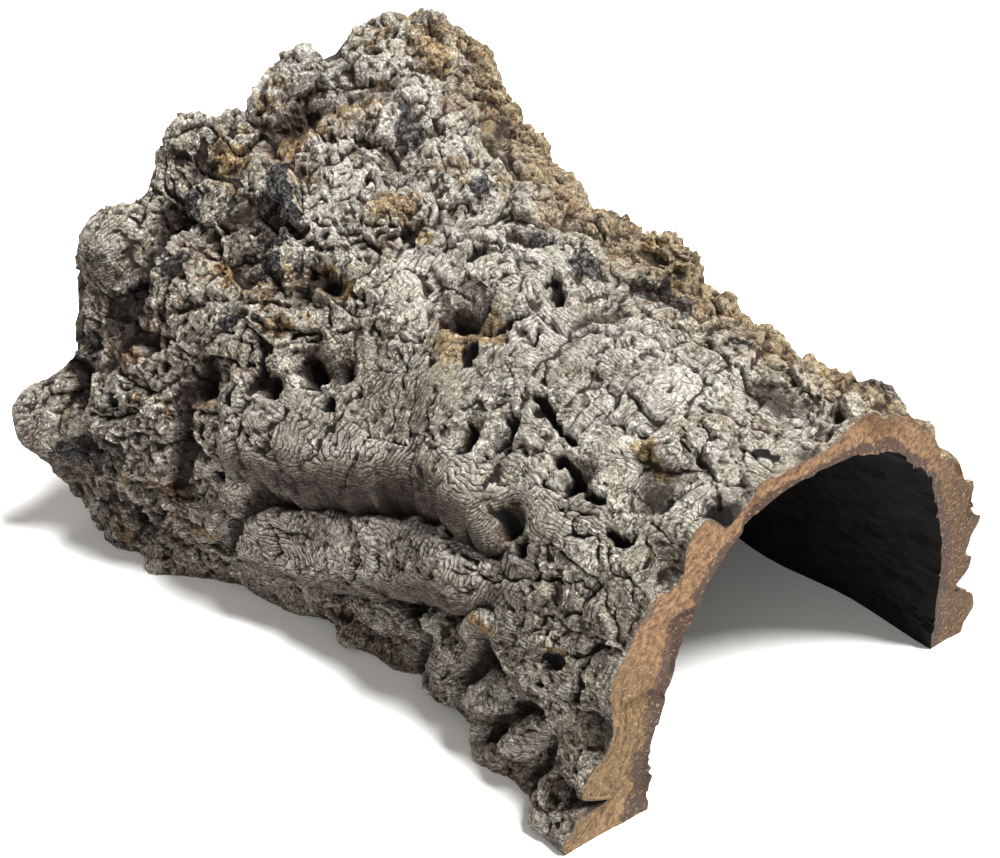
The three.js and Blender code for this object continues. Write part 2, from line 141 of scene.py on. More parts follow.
# Longer slits, torn open: path, depth, half width
SLITS = (
    (((152, 69.5), (147, 71.2), (140, 73.6)), 12, 3.2),
    (((134, 71), (128, 73), (124, 76)), 6, 2.0),
    (((131, 82.2), (126, 82.4), (120, 81.4)), 8, 1.8),
    (((114, 76), (113, 74), (115, 72.8)), 7, 1.4),
    (((111, 59.5), (108, 57.6), (110, 55.4)), 7, 1.9),
    (((97, 63.6), (95, 60.6), (96.5, 57)), 8, 1.9),
    (((93, 69), (88, 67.4), (80, 66.9), (70, 66.3)), 5, 1.6),
    (((70, 63.4), (66, 62.8)), 6, 1.7),
    (((62, 62.8), (59, 61), (58, 58.8)), 9, 2.4),
    (((47, 60.4), (43, 60)), 7, 2.0),
    (((33, 56.8), (27, 57.2), (24, 58)), 6, 1.7),
    (((76, 86), (72, 86.6)), 6, 1.8),
    (((67, 88), (62, 88.6)), 6, 1.8),
    (((24, 66), (21, 63.4)), 8, 1.8),
    (((16, 38), (15, 34), (17, 30)), 5, 1.6),
    (((199, 46.8), (194, 45.6)), 8, 2.4),
    (((190, 52.6), (184, 51.6)), 9, 2.4),
    (((177, 55.8), (174, 54)), 7, 2.0),
    (((172, 81.5), (168, 78)), 7, 2.4),
    (((8, 80.4), (14, 79.6)), 5, 1.7),
)
# Fine cracks seen on the bark: path, depth, half width
CRACKS = (
    (((83, 86), (70, 87.5), (62, 88.5)), 4, 1.2),
    (((90, 75.5), (89, 78.5), (84, 81), (77, 82.6)), 2.6, 0.9),
    (((68, 79.5), (64, 84.5), (54, 86), (44, 83.5)), 3.4, 1.3),
    (((44, 83.5), (42, 77), (48, 74.5), (58, 74.2), (66, 76.5)), 2.8, 1.1),
    (((188, 65), (184, 71), (174, 72.5), (166, 70)), 3.4, 1.4),
    (((160, 66), (152, 60), (146, 54), (141, 50)), 2.4, 0.9),
    (((166, 56), (163, 50), (165, 44), (161, 38)), 3.8, 1.3),
    (((183, 46), (181, 41), (183, 36)), 3.4, 1.3),
    (((196, 44), (193, 38), (190, 34)), 3.4, 1.3),
    (((148, 50), (145, 44), (147, 38)), 2.6, 1.0),
    (((128, 58), (124, 50), (119, 46)), 2.4, 0.9),
    (((20, 52), (26, 45), (38, 41), (46, 36)), 2.8, 1.0),
    (((52, 46), (40, 47), (30, 49), (18, 47)), 2.4, 0.9),
    (((56, 52), (50, 43), (52, 36)), 3, 1.0),
    (((8, 45), (16, 40), (28, 36)), 3, 1.0),
    (((150, 27), (146, 22), (148, 17)), 2.6, 1.0),
    (((126, 33), (122, 29), (124, 25)), 2.4, 0.9),
    (((118, 38), (112, 33), (114, 28)), 2.0, 0.8),
    (((182, 28), (174, 22), (176, 16)), 2.6, 1.0),
    (((86, 42), (74, 40), (62, 42)), 2.4, 0.9),
    (((312, 50), (309, 43), (314, 37)), 4, 1.4),
    (((246, 72), (238, 68), (240, 60)), 3, 1.2),
    (((32, 79), (25, 74), (14, 73), (4, 76)), 3, 1.1),
)
# Small ledges, where an upper layer ends over the one below: path, rise, how far the lip hangs over
LEDGES = (
    (((119, 77.5), (108, 79), (98, 81.6), (91, 84), (83, 85.8), (76, 86.4)), 3.6, 2.2),
    (((64, 70.6), (56, 71.6), (47, 72.6)), 3.4, 2.0),
    (((46, 69.4), (38, 69.8), (30, 70.4)), 3.0, 2.0),
    (((134, 61), (128, 57), (118, 54)), 2.2, 1.0),
    (((104, 65), (99, 66.4), (94, 70)), 3.4, 1.6),
    (((92, 60), (86, 62), (80, 61.4)), 3.0, 1.6),
    (((56, 56), (46, 57.4), (38, 58.6)), 2.6, 1.4),
    (((30, 86), (24, 87.6), (16, 87)), 3.4, 1.6),
    (((154, 76), (146, 78), (138, 81)), 3.0, 1.4),
    (((28, 53), (20, 52.4), (12, 53.4)), 2.4, 1.2),
    (((100, 34), (84, 37), (72, 38)), 3.0, 1.6),
    (((90, 22), (84, 18), (86, 10)), 3.4, 1.6),
    (((50, 30), (42, 27), (38, 20)), 3.0, 1.6),
    (((104, 49), (94, 46.4), (84, 43.6), (76, 44)), 3.6, 2.2),
    (((140, 44), (136, 38), (138, 33)), 2.8, 1.6),
    (((112, 41), (107, 36), (110, 30)), 2.8, 1.8),
    (((160, 26), (152, 22), (140, 20)), 3.0, 1.6),
)
# Places where the bark is smooth: millimetres behind the front, degrees round, half sizes along and round
CALM = (
    (318, 16, 20, 34), (308, 45, 14, 18), (54, 79.5, 9, 9), (104, 77, 16, 12), (14, 53, 12, 9),
    (31, 65.5, 12, 10), (54, 72, 10, 8), (64, 14, 9, 12), (97, 25, 6, 8), (178, 72, 12, 10),
)

# How finely the piece is divided before it is thinned, and its size after
ROWS = 460
COLUMNS_SEEN, COLUMNS_HIDDEN = 520, 150
SEEN_TO = 114.0  # degrees round
TUNNEL_ROWS = 90
FACE_ROWS = 16
MOST_TRIANGLES = 196000
SHARP_FROM = 27.0  # degrees between two faces from which their edge is shown sharp
MM = 0.001

# Growth layers in the mesh: thickness outside, how far the relief follows them, thickness in the tunnel
LAYER_PITCH, LAYER_SHARE = 2.6, 0.4
TUNNEL_LAYER_PITCH = 1.8
LINE_PITCH = {"lengthways": 2.0, "crossways": 2.2, "upright": 1.9}  # growth lines in the material
# How far round, in places of the grid, the surface is evened out to find what stands out of it
FINE_REACH, HOLLOW_REACH, FACING_REACH, VALLEY_REACH, OUTWARD_REACH = 2, 10, 26, 28, 7


def smooth(low, high, value):
    """0 below low, 1 above high, and an even curve between them."""
    t = np.clip((value - low) / (high - low), 0, 1)
    return t * t * (3 - 2 * t)


def lerp(a, b, share):
    return a + (b - a) * share


def size_at(table, name, share):
    """A size between a table's stations, on a curve whose slope at each is set by its neighbours."""
    at = np.array(table["at"], float)
    value = np.array(table[name], float)
    count = len(at)
    before = np.maximum(np.arange(count) - 1, 0)
    after = np.minimum(np.arange(count) + 1, count - 1)
    slope = (value[after] - value[before]) / (at[after] - at[before])
    i = np.clip(np.searchsorted(at, share, side="right") - 1, 0, count - 2)
    span = at[i + 1] - at[i]
    t = (share - at[i]) / span
    bend = t * t * (3 - 2 * t)
    curve = span * t * (1 - t) * ((1 - t) * slope[i] - t * slope[i + 1])
    return lerp(value[i], value[i + 1], bend) + curve


def draw(i, j, seed):
    """A seeded random number from 0 to 1 for each crossing of a pattern's lattice."""
    n = i.astype(np.int64) * 374761393 + j.astype(np.int64) * 668265263 + seed * 1274126177
    n = n.astype(np.uint32)
    n = (n ^ (n >> np.uint32(13))) * np.uint32(1103515245)
    return (n ^ (n >> np.uint32(16))) / 4294967296.0


def noise(s, t, size, seed):
    """Smooth seeded noise from -1 to 1, with hills about one size apart."""
    i, j = np.floor(s / size), np.floor(t / size)
    u, v = smooth(0, 1, s / size - i), smooth(0, 1, t / size - j)
    low = lerp(draw(i, j, seed), draw(i + 1, j, seed), u)
    high = lerp(draw(i, j + 1, seed), draw(i + 1, j + 1, seed), u)
    return 2 * lerp(low, high, v) - 1


def layered(s, t, size, seed, times=4):
    """Noise of several sizes, each half as large and half as strong as the one before."""
    total, weight = 0, 0
    for k in range(times):
        total = total + noise(s, t, size / 2 ** k, seed + k) / 2 ** k
        weight += 1 / 2 ** k
    return total / weight


def degree_length(s):
    return lerp(DEGREE_FRONT, DEGREE_BACK, s / LENGTH)


def from_path(path, s, a):
    """How far each place is from a path, its side (1 towards the crown), and its share along the path."""
    scale = degree_length(s)
    off = np.full(np.shape(s), np.inf)
    side = np.ones(np.shape(s))
    along = np.zeros(np.shape(s))
    for k in range(len(path) - 1):
        run_s = path[k + 1][0] - path[k][0]
        run_a = (path[k + 1][1] - path[k][1]) * scale
        to_s = s - path[k][0]
        to_a = (a - path[k][1]) * scale
        share = np.clip((to_s * run_s + to_a * run_a) / (run_s ** 2 + run_a ** 2), 0, 1)
        here = np.hypot(to_s - share * run_s, to_a - share * run_a)
        nearer = here < off
        off = np.where(nearer, here, off)
        side = np.where(nearer, np.where(run_s * to_a - run_a * to_s > 0, -1, 1), side)
        along = np.where(nearer, (k + share) / (len(path) - 1), along)
    return off, side, along


def between_ends(along, reach):
    """1 along a path, and less over the given share of it at each end."""
    return smooth(0, reach, along) * smooth(0, reach, 1 - along)


def mound(s, a, at_s, at_a, along, round_size, power=1.5):
    """1 in the middle of a lump or hollow and 0 outside it; a higher power has steeper sides."""
    q = ((s - at_s) / along) ** 2 + ((a - at_a) * degree_length(s) / round_size) ** 2
    return np.exp(-0.7 * np.minimum(q, 50) ** power)


def crumb_share(s, a):
    """How crumbly the bark is: full at the back, on the crown and down the far side, less on the rolls."""
    back = smooth(180, 235, s + 0.5 * (a - 45))
    over = smooth(84, 102, a)
    top = 0.6 * smooth(60, 80, a) * smooth(60, 130, s)
    by_front = lerp(CRUMB_SHARE_AT_FRONT, 1, smooth(0, 45, s))
    return lerp(CRUMB_SHARE_ON_ROLLS, 1, np.maximum(np.maximum(back, over), top)) * by_front


def roughness_of(s, a):
    """How broken the fine surface is: calm on the two long laps, flaky in front and on top, else rough."""
    back = smooth(172, 226, s + 0.6 * (a - 45))
    over = smooth(82, 100, a)
    top = 0.3 * smooth(56, 76, a) * smooth(40, 110, s)
    front = 0.3 * smooth(70, 40, s)
    foot = 0.5 * smooth(20, 8, a)
    rough = np.maximum.reduce([back, over, top, front, foot])
    rough = rough + 0.2 * noise(s, a * DEGREE_IN_PATTERN, 32, 221)
    for at_s, at_a, along, round_size in CALM:
        rough = rough * (1 - 0.85 * mound(s, a, at_s, at_a, along, round_size, 2))
    return np.clip(rough, 0, 1)


def main_relief(s, a):
    """The solid's own relief, and how far its laps hang over."""
    t = a * DEGREE_IN_PATTERN
    s2 = s + WANDER[1] * noise(s, t, WANDER[0], WANDER[2])
    t2 = t + WANDER[1] * noise(s, t, WANDER[0], WANDER[2] + 1)
    height = SWELL[1] * noise(s, t, SWELL[0], SWELL[2])
    crumbs = CRUMBS[1] * (np.abs(noise(s2, t2, CRUMBS[0], CRUMBS[2])) - 0.3)
    for size, deep, seed in BREAKS:
        crumbs = crumbs - deep * (smooth(0.15, -0.4, noise(s2, t2, size, seed)) - 0.4)
    height = height + crumbs * crumb_share(s, a)
    overhang = np.zeros(np.shape(s))
    ragged = a + 1.1 * noise(s, t, 11, 61) + 0.7 * noise(s, t, 4.5, 62)
    for path, rise, lip, fade, cut, gap, hang in ROLLS:
        off, side, along = from_path(path, s, ragged)
        ends = between_ends(along, 0.14)
        rounding = np.sqrt(1 - (1 - np.minimum(off / lip, 1)) ** 2)
        raised = np.where(side > 0, rise * rounding * np.exp(-off / fade), 0)
        height = height + (raised - cut * bell(off, gap)) * ends
        overhang = overhang + np.where(side > 0, hang * bell(off, 7), 0) * ends
    for path, depth, width in CREVICES:
        height = height - depth * bell(from_path(path, s, ragged)[0], width)
    for at_s, at_a, along, round_size, tall in LUMPS:
        height = height + tall * mound(s, a, at_s, at_a, along, round_size)
    for at_s, at_a, along, round_size, depth in HOLLOWS:
        height = height - depth * mound(s, a, at_s, at_a, along, round_size)
    return height, overhang


def bell(off, width):
    """1 in the middle of a line and less away from it."""
    return np.exp(-(off / width) ** 2)


def cracked_cells(shape, cells, scale, crack, width, cracked):
    """The level of the nearest of some cells, with a share of the borders between them cracked open. cells
    gives how far each cell is, its level and its number. Also gives the nearest cell's number."""
    nearest = np.full(shape, np.inf)
    second = np.full(shape, np.inf)
    height, own_number, next_number = np.zeros(shape), np.zeros(shape), np.zeros(shape)
    for far, level, number in cells:
        first = far < nearest
        next_number = np.where(first, own_number, np.where(far < second, number, next_number))
        second = np.where(first, nearest, np.minimum(second, far))
        height = np.where(first, level, height)
        own_number = np.where(first, number, own_number)
        nearest = np.where(first, far, nearest)
    open_border = smooth(cracked + 0.12, cracked - 0.12, (own_number + next_number) * 3.7 % 1)
    return height - crack * open_border * bell((second - nearest) * scale, width), own_number


def plates(s, t, size, seed, step, tilt, crack, width, cracked):
    """Plates of calm bark: cells around scattered points, each at its own level and tilt, so that their
    borders are small cliffs."""
    i, j = np.floor(s / size), np.floor(t / size)

    def cells():
        for place in range(9):
            ci, cj = i + place // 3 - 1, j + place % 3 - 1
            to_s = s - (ci + draw(ci, cj, seed)) * size
            to_t = t - (cj + draw(ci, cj, seed + 1)) * size
            turn = 6.283 * draw(ci, cj, seed + 2)
            number = draw(ci, cj, seed + 3)
            level = step * (2 * number - 1) + tilt * (np.cos(turn) * to_s + np.sin(turn) * to_t) / size
            yield np.hypot(to_s, to_t), level, number

    return cracked_cells(np.shape(s), cells(), 1, crack, width, cracked)[0]


def fine_relief(s, a, rough):
    """The relief too fine for the solid where the bark is calm, and the holes, slits, cracks and ledges.
    Also gives how far the ledges hang over and how far inside a hole each place is."""
    t = a * DEGREE_IN_PATTERN
    s2 = s + 5 * layered(s, t, 19, 71) + 1.6 * layered(s, t, 4, 75, 2)
    t2 = t + 5 * layered(s, t, 19, 81) + 1.6 * layered(s, t, 4, 85, 2)
    large = plates(s2 * 1.2, t2 * 0.8, 27, 91, 1.7, 4.2, 3.4, 1.0, 0.5)
    small = plates(s2 * 0.8 + t2 * 0.4, t2 * 0.9 - s2 * 0.3, 12, 101, 1.7, 3.6, 2.6, 0.8, 0.5)
    height = (0.4 * large + 0.16 * small + 0.2 * noise(s2, t2, 4, 117)) * (1 - rough)
    ragged_s = s + 3.4 * layered(s, t, 8, 131, 3) + 1.1 * noise(s, t, 2.4, 134)
    ragged_a = a + 1.3 * layered(s, t, 8, 136, 3) + 0.4 * noise(s, t, 2.4, 139)
    pit = np.zeros(np.shape(s))
    for at_s, at_a, along, round_size, depth in HOLES:
        share = mound(ragged_s, ragged_a, at_s, at_a, along, round_size, 3)
        height = height - depth * share
        pit = np.maximum(pit, share)
    for path, depth, width in SLITS:
        share = np.exp(-0.7 * (from_path(path, ragged_s, ragged_a)[0] / width) ** 4)
        height = height - depth * share
        pit = np.maximum(pit, share)
    for path, depth, width in CRACKS:
        off, _, along = from_path(path, ragged_s, ragged_a)
        height = height - depth * bell(off, width) * between_ends(along, 0.2)
    hang = np.zeros(np.shape(s))
    for path, rise, reach in LEDGES:
        off, side, along = from_path(path, ragged_s, ragged_a)
        ends = between_ends(along, 0.2)
        raised = np.where(side > 0, rise * (1 - np.exp(-off / 1.2)) * np.exp(-off / 12), 0)
        height = height + (raised - 1.8 * bell(off, 1.5)) * ends
        hang = hang + np.where(side > 0, reach * bell(off, 3.5), 0) * ends
    return height * lerp(0.45, 1, smooth(0, 9, s)) * lerp(0.5, 1, smooth(0, 10, a)), hang, pit


def terraced(height, s, t, pitch, seed):
    """Height turned into growth layers: flat steps one pitch apart with steep, wandering edges."""
    wander = 1.3 * layered(s, t, 13, seed) + 0.3 * noise(s, t, 2.3, seed + 5)
    steps = (height + wander) / pitch
    whole = np.floor(steps)
    return pitch * (whole + smooth(0.62, 1, steps - whole)) - wander


def draw_in_space(cell, seed):
    return draw(cell[..., 0] + 57 * cell[..., 2], cell[..., 1] - 91 * cell[..., 2], seed)


def noise_in_space(points, size, seed):
    """Smooth seeded noise from -1 to 1 at places in space, in millimetres."""
    cell = np.floor(points / size)
    share = points / size - cell
    share = share * share * (3 - 2 * share)
    total = 0
    for corner in range(8):
        step = np.array([corner & 1, corner >> 1 & 1, corner >> 2 & 1])
        weight = np.prod(np.where(step, share, 1 - share), axis=-1)
        total = total + weight * draw_in_space(cell + step, seed)
    return 2 * total - 1


def shaken(points, size, reach, seed):
    """Places moved by noise, so that what is drawn on them loses its regular borders."""
    shift = [noise_in_space(points, size, seed + k) + 0.5 * noise_in_space(points, size / 2, seed + 5 + k)
             for k in range(3)]
    return points + reach * np.stack(shift, -1)


def chunks(points, size, seed, step, tilt, crack, width, cracked):
    """Chunks of broken bark: like plates, but with cells around points in space. Also gives their tone."""
    cell = np.floor(points / size)

    def cells():
        for place in range(27):
            here = cell + np.array([place % 3, place // 3 % 3, place // 9]) - 1
            middle = np.stack([draw_in_space(here, seed + k) for k in range(3)], -1)
            to = points / size - here - middle
            number = draw_in_space(here, seed + 3)
            lean = np.stack([draw_in_space(here, seed + 4 + k) for k in range(3)], -1) - 0.5
            level = step * (2 * number - 1) + 2 * tilt * np.sum(lean * to, axis=-1)
            yield np.linalg.norm(to, axis=-1), level, number

    return cracked_cells(points.shape[:-1], cells(), size, crack, width, cracked)


def outward(points):
    """The direction out of a grid of places, evened out over its neighbours."""
    even = np.stack([blurred(points[..., k], OUTWARD_REACH) for k in range(3)], -1)
    out = np.cross(np.gradient(even, axis=1), np.gradient(even, axis=0))
    return out / np.maximum(np.linalg.norm(out, axis=-1, keepdims=True), 1e-9)


def broken_relief(points):
    """The broken, crumbly surface of the rough bark, and the tone of its chunks."""
    loose = shaken(points, 14, 2.6, 231)
    squashed = loose * np.array([1, 1, 1.35])
    large, tone = chunks(squashed, 23, 241, 1.7, 4.4, 3.0, 1.1, 0.45)
    small, small_tone = chunks(shaken(points, 6, 1.1, 251), 10, 261, 0.7, 2.2, 1.2, 0.7, 0.4)
    flakes, flake_tone = chunks(shaken(points, 3, 0.6, 271), 4.6, 281, 0.45, 1.5, 0.7, 0.5, 0.4)
    pits = smooth(0.6, 0.72, noise_in_space(loose, 15, 291) + 0.5 * noise_in_space(loose, 6, 292))
    height = large + small + flakes - 4.0 * pits + 0.3 * noise_in_space(points, 2.2, 293)
    return height, 0.35 * tone + 0.35 * small_tone + 0.3 * flake_tone


def arch_radius(table, share, degrees, near_power):
    """A table's arch: |y / half|^power + |z / crown|^power = 1, with power 2 on the far side."""
    half = np.where(degrees < 90, size_at(table, "near", share), size_at(table, "far", share))
    power = np.where(degrees < 90, near_power, 2.0)
    across = np.abs(np.cos(np.radians(degrees)) / half) ** power
    up = np.abs(np.sin(np.radians(degrees)) / size_at(table, "crown", share)) ** power
    return (across + up) ** (-1 / power)


def belly_share(degrees):
    return bell(degrees - BELLY_MIDDLE, BELLY_SPREAD)


def tunnel_radius(share, degrees):
    arch = arch_radius(TUNNEL, share, degrees, TUNNEL_SQUARE)
    swell = TUNNEL_SWELL[1] * noise(share * LENGTH, degrees * 2, TUNNEL_SWELL[0], TUNNEL_SWELL[2])
    return arch + TUNNEL_BELLY * size_at(STATIONS, "belly", share) * belly_share(degrees) + swell


def smooth_radius(share, degrees):
    arch = arch_radius(STATIONS, share, degrees, size_at(STATIONS, "square", share))
    return arch + size_at(STATIONS, "belly", share) * belly_share(degrees)


def points_at(share, degrees, radius, torn_share):
    """Places in the row frame, in millimetres."""
    angle = np.radians(degrees)
    z = radius * np.sin(angle)
    y = size_at(STATIONS, "centre", share) + size_at(STATIONS, "lean", share) * z - radius * np.cos(angle)
    run = noise(degrees * DEGREE_IN_PATTERN, np.zeros(np.shape(degrees)), TORN_BACK[0], TORN_BACK[2])
    torn = torn_share * TORN_BACK[1] * (0.5 + 0.5 * run) * smooth(0.8, 1, share)
    x = LENGTH / 2 - share * LENGTH + torn
    return np.stack([x, y - BOX_MIDDLE_Y, np.maximum(z, 0)], -1)


def blurred(field, reach):
    """A grid's values averaged over reach places each way, three times over, which is near a bell curve."""
    for axis in (0, 1, 0, 1, 0, 1):
        width = [(0, 0), (0, 0)]
        width[axis] = (reach + 1, reach)
        total = np.cumsum(np.pad(field, width, mode="edge"), axis=axis)
        first = [slice(None), slice(None)]
        last = [slice(None), slice(None)]
        first[axis] = slice(0, field.shape[axis])
        last[axis] = slice(2 * reach + 1, 2 * reach + 1 + field.shape[axis])
        field = (total[tuple(last)] - total[tuple(first)]) / (2 * reach + 1)
    return field


# Patches of colour: millimetres behind the front, degrees round, half sizes along and round, strength
TAN_PATCHES = (
    (278, 71, 12, 8, 1.0), (272, 79, 7, 9, 0.8), (212, 76, 10, 9, 0.6), (268, 58, 5, 7, 0.7),
    (245, 54, 6, 5, 0.6), (193, 76, 6, 5, 0.6), (222, 75, 7, 6, 0.5), (235, 21, 8, 6, 0.6),
    (226, 14, 6, 5, 0.6), (140, 67, 16, 14, 0.45), (69, 32.5, 8, 4, 0.8), (40, 70, 9, 2.6, 1.0),
    (292, 92, 12, 9, 0.5), (311, 89, 8, 9, 0.5), (273, 37, 7, 7, 0.8), (210, 63.5, 9, 6, 0.7),
    (132, 72, 9, 7, 0.7), (108, 58, 5, 7, 0.5), (75, 50, 7, 7, 0.5), (147, 70, 12, 6, 0.5),
    (28, 36, 5, 4, 0.5), (290, 62, 9, 6, 0.6), (255, 68, 8, 6, 0.4),
)
SLATE_PATCHES = (
    (248, 63, 14, 9, 1.0), (291, 54, 8, 6, 0.9), (303, 33, 8, 7, 0.9), (130, 89, 11, 6, 0.9),
    (103, 96, 12, 7, 0.9), (17, 105, 12, 7, 0.9), (232, 58, 7, 6, 0.7), (265, 66, 6, 5, 0.7),
    (286, 44, 8, 6, 0.7), (224, 50, 6, 5, 0.6), (250, 84, 9, 7, 0.7), (298, 18, 8, 8, 0.7),
    (270, 49, 8, 5, 0.7), (160, 90, 8, 5, 0.6), (200, 88, 9, 6, 0.6), (60, 96, 8, 5, 0.6),
)
# Dull patches: a duller colour of their own, and painted light where they are used: darker where facing
# down, lighter where facing up.
DULL_AND_PAINTED_LIGHT_PATCHES = ((322, 12, 18, 34, 0.8), (312, 42, 9, 12, 0.6), (3, 4, 9, 9, 0.5), (132, 42, 76, 26, 1.0),
                (150, 55, 44, 16, 0.55))
# Places where the growth layers show as many fine steps
STEPPED_PATCHES = (
    (126, 54, 18, 16, 1.0), (31, 65.5, 12, 10, 1.0), (9, 65, 11, 9, 1.0), (150, 37, 52, 12, 0.8),
    (120, 25, 56, 15, 0.8), (104, 77, 16, 12, 0.7), (54, 79.5, 9, 9, 0.7), (178, 71, 14, 10, 0.8),
    (50, 14, 20, 18, 0.7), (14, 46, 14, 10, 0.7), (312, 46, 12, 16, 0.8), (30, 88, 14, 9, 0.7),
    (192, 55, 12, 12, 0.6), (236, 66, 14, 12, 0.6), (268, 84, 14, 12, 0.6),
)
STEPPED_ROLL_REACH = 24.0


def patch_mask(patches, s, a):
    t = a * DEGREE_IN_PATTERN
    s2 = s + 7 * layered(s, t, 14, 141)
    a2 = a + 2.6 * layered(s, t, 14, 151)
    mask = np.zeros(np.shape(s))
    for at_s, at_a, along, round_size, strength in patches:
        mask = np.maximum(mask, strength * mound(s2, a2, at_s, at_a, along, round_size, 1.6))
    return mask


def sunken(height, reach, depth):
    """1 at depth or more below the surroundings, 0.5 where level with them and 0 where standing out."""
    return np.clip((blurred(height, reach) - height) / depth, -1, 1) * 0.5 + 0.5


def stepped_mask(s, a):
    """Where the growth layers show: in their patches and along the two long rolls."""
    mask = patch_mask(STEPPED_PATCHES, s, a)
    for roll in ROLLS[:2]:
        off = from_path(roll[0], s, a - 4)[0] + 9 * layered(s, a * DEGREE_IN_PATTERN, 16, 301)
        mask = np.maximum(mask, smooth(STEPPED_ROLL_REACH, 0.6 * STEPPED_ROLL_REACH, off))
    return mask


def outside_grid():
    """The bark's outer skin: places on a grid and the masks that colour it."""
    share = np.linspace(0, 1, ROWS + 1)
    seen = np.linspace(0, SEEN_TO, COLUMNS_SEEN + 1)
    hidden = np.linspace(SEEN_TO, 180, COLUMNS_HIDDEN + 1)[1:]
    degrees = np.concatenate([seen, hidden])
    share, degrees = np.meshgrid(share, degrees, indexing="ij")
    s = share * LENGTH
    t = degrees * DEGREE_IN_PATTERN
    rough = roughness_of(s, degrees)
    relief, overhang = main_relief(s, degrees)
    fine, hang, pit = fine_relief(s, degrees, rough)
    height = relief + fine
    height = lerp(height, terraced(height, s, t, LAYER_PITCH, 201), LAYER_SHARE)
    base = smooth_radius(share, degrees)
    floor = tunnel_radius(share, degrees) + THINNEST_WALL
    radius = base + height
    radius = np.where(radius < floor, floor - 1.5 * (1 - np.exp((radius - floor) / 6)), radius)
    ends = smooth(0, 6, degrees) * smooth(0, 3, 180 - degrees)
    leaned = degrees - (overhang + hang) * ends / degree_length(s)
    points = points_at(share, leaned, radius, 1)
    edge = smooth(0, 2, degrees) * smooth(0, 2, 180 - degrees) * smooth(0, 3, s) * smooth(0, 3, LENGTH - s)
    broken, tone = broken_relief(points)
    broken = broken * lerp(0.16, 1.0, rough) * edge
    broken = broken * lerp(0.5, 1, smooth(0, 9, s)) * lerp(0.5, 1, smooth(0, 12, degrees))
    broken = broken * lerp(1, 0.7, smooth(96, 105, degrees))
    points = points + outward(points) * broken[..., None]
    points = lerp(points, shaken(points, 8, 0.8, 211), (lerp(0.3, 1.0, rough) * edge)[..., None])
    height = radius - base + broken
    facing = outward(points)[..., 2]
    masks = {
        "facing": facing - blurred(facing, FACING_REACH),
        "cavity": sunken(height, FINE_REACH, 0.9),
        "hollow": sunken(height, HOLLOW_REACH, 5.0),
        "valley": sunken(relief, VALLEY_REACH, 10.0),
        "layer": relief * 0.1,
        "tone": tone,
        "pit": pit,
        "rough": rough,
        "tan": patch_mask(TAN_PATCHES, s, degrees),
        "slate": patch_mask(SLATE_PATCHES, s, degrees),
        "dull_and_painted_light": patch_mask(DULL_AND_PAINTED_LIGHT_PATCHES, s, degrees),
        "stepped": stepped_mask(s, degrees),
        "along": share,
        "round": degrees / 180,
    }
    return points, masks, degrees[0]


def quads(grid, turned=False):
    """The four-cornered faces of a grid of corner numbers."""
    a, b, c, d = grid[:-1, :-1], grid[:-1, 1:], grid[1:, 1:], grid[1:, :-1]
    order = (a, d, c, b) if turned else (a, b, c, d)
    return np.stack([part.ravel() for part in order], -1)


def join_lines(first, second, turned=False):
    """Triangles between two lines of corner numbers, taken on by whichever lags."""
    faces = []
    i = j = 0
    while i < len(first) - 1 or j < len(second) - 1:
        step_first = j == len(second) - 1 or (
            i < len(first) - 1 and (i + 1) / (len(first) - 1) <= (j + 1) / (len(second) - 1)
        )
        third = first[i + 1] if step_first else second[j + 1]
        faces.append((first[i], third, second[j]) if turned else (first[i], second[j], third))
        i, j = (i + 1, j) if step_first else (i, j + 1)
    return np.array(faces)


class Corners:
    """Corners and their masks, gathered patch by patch."""

    def __init__(self):
        self.points = []
        self.masks = {}
        self.count = 0

    def add(self, points, **masks):
        """Adds a patch's corners and returns their numbers on the same grid."""
        shape = points.shape[:-1]
        total = int(np.prod(shape))
        self.points.append(points.reshape(-1, 3))
        for name, value in masks.items():
            column = self.masks.setdefault(name, [np.zeros(self.count)])
            column.append(np.broadcast_to(value, shape).ravel())
        for name, column in self.masks.items():
            if name not in masks:
                column.append(np.zeros(total))
        numbers = np.arange(self.count, self.count + total).reshape(shape)
        self.count += total
        return numbers


def cut_face(outer_edge, inner_edge, inward, seed):
    """The places between the bark's edge and the tunnel's edge on a sawn end, roughened by grain."""
    share = (np.arange(1, FACE_ROWS) / FACE_ROWS)[:, None]
    points = lerp(outer_edge[None], inner_edge[None], share[..., None])
    y, z = points[..., 1], points[..., 2]
    grain = 0.5 + 0.5 * layered(y, z, 9, seed, 3)
    dents = smooth(0.35, 0.8, noise(y, z, 15, seed + 9))
    points[..., 0] += inward * (0.7 * grain + 2.2 * dents) * np.sin(np.pi * share) ** 0.5
    return points, share


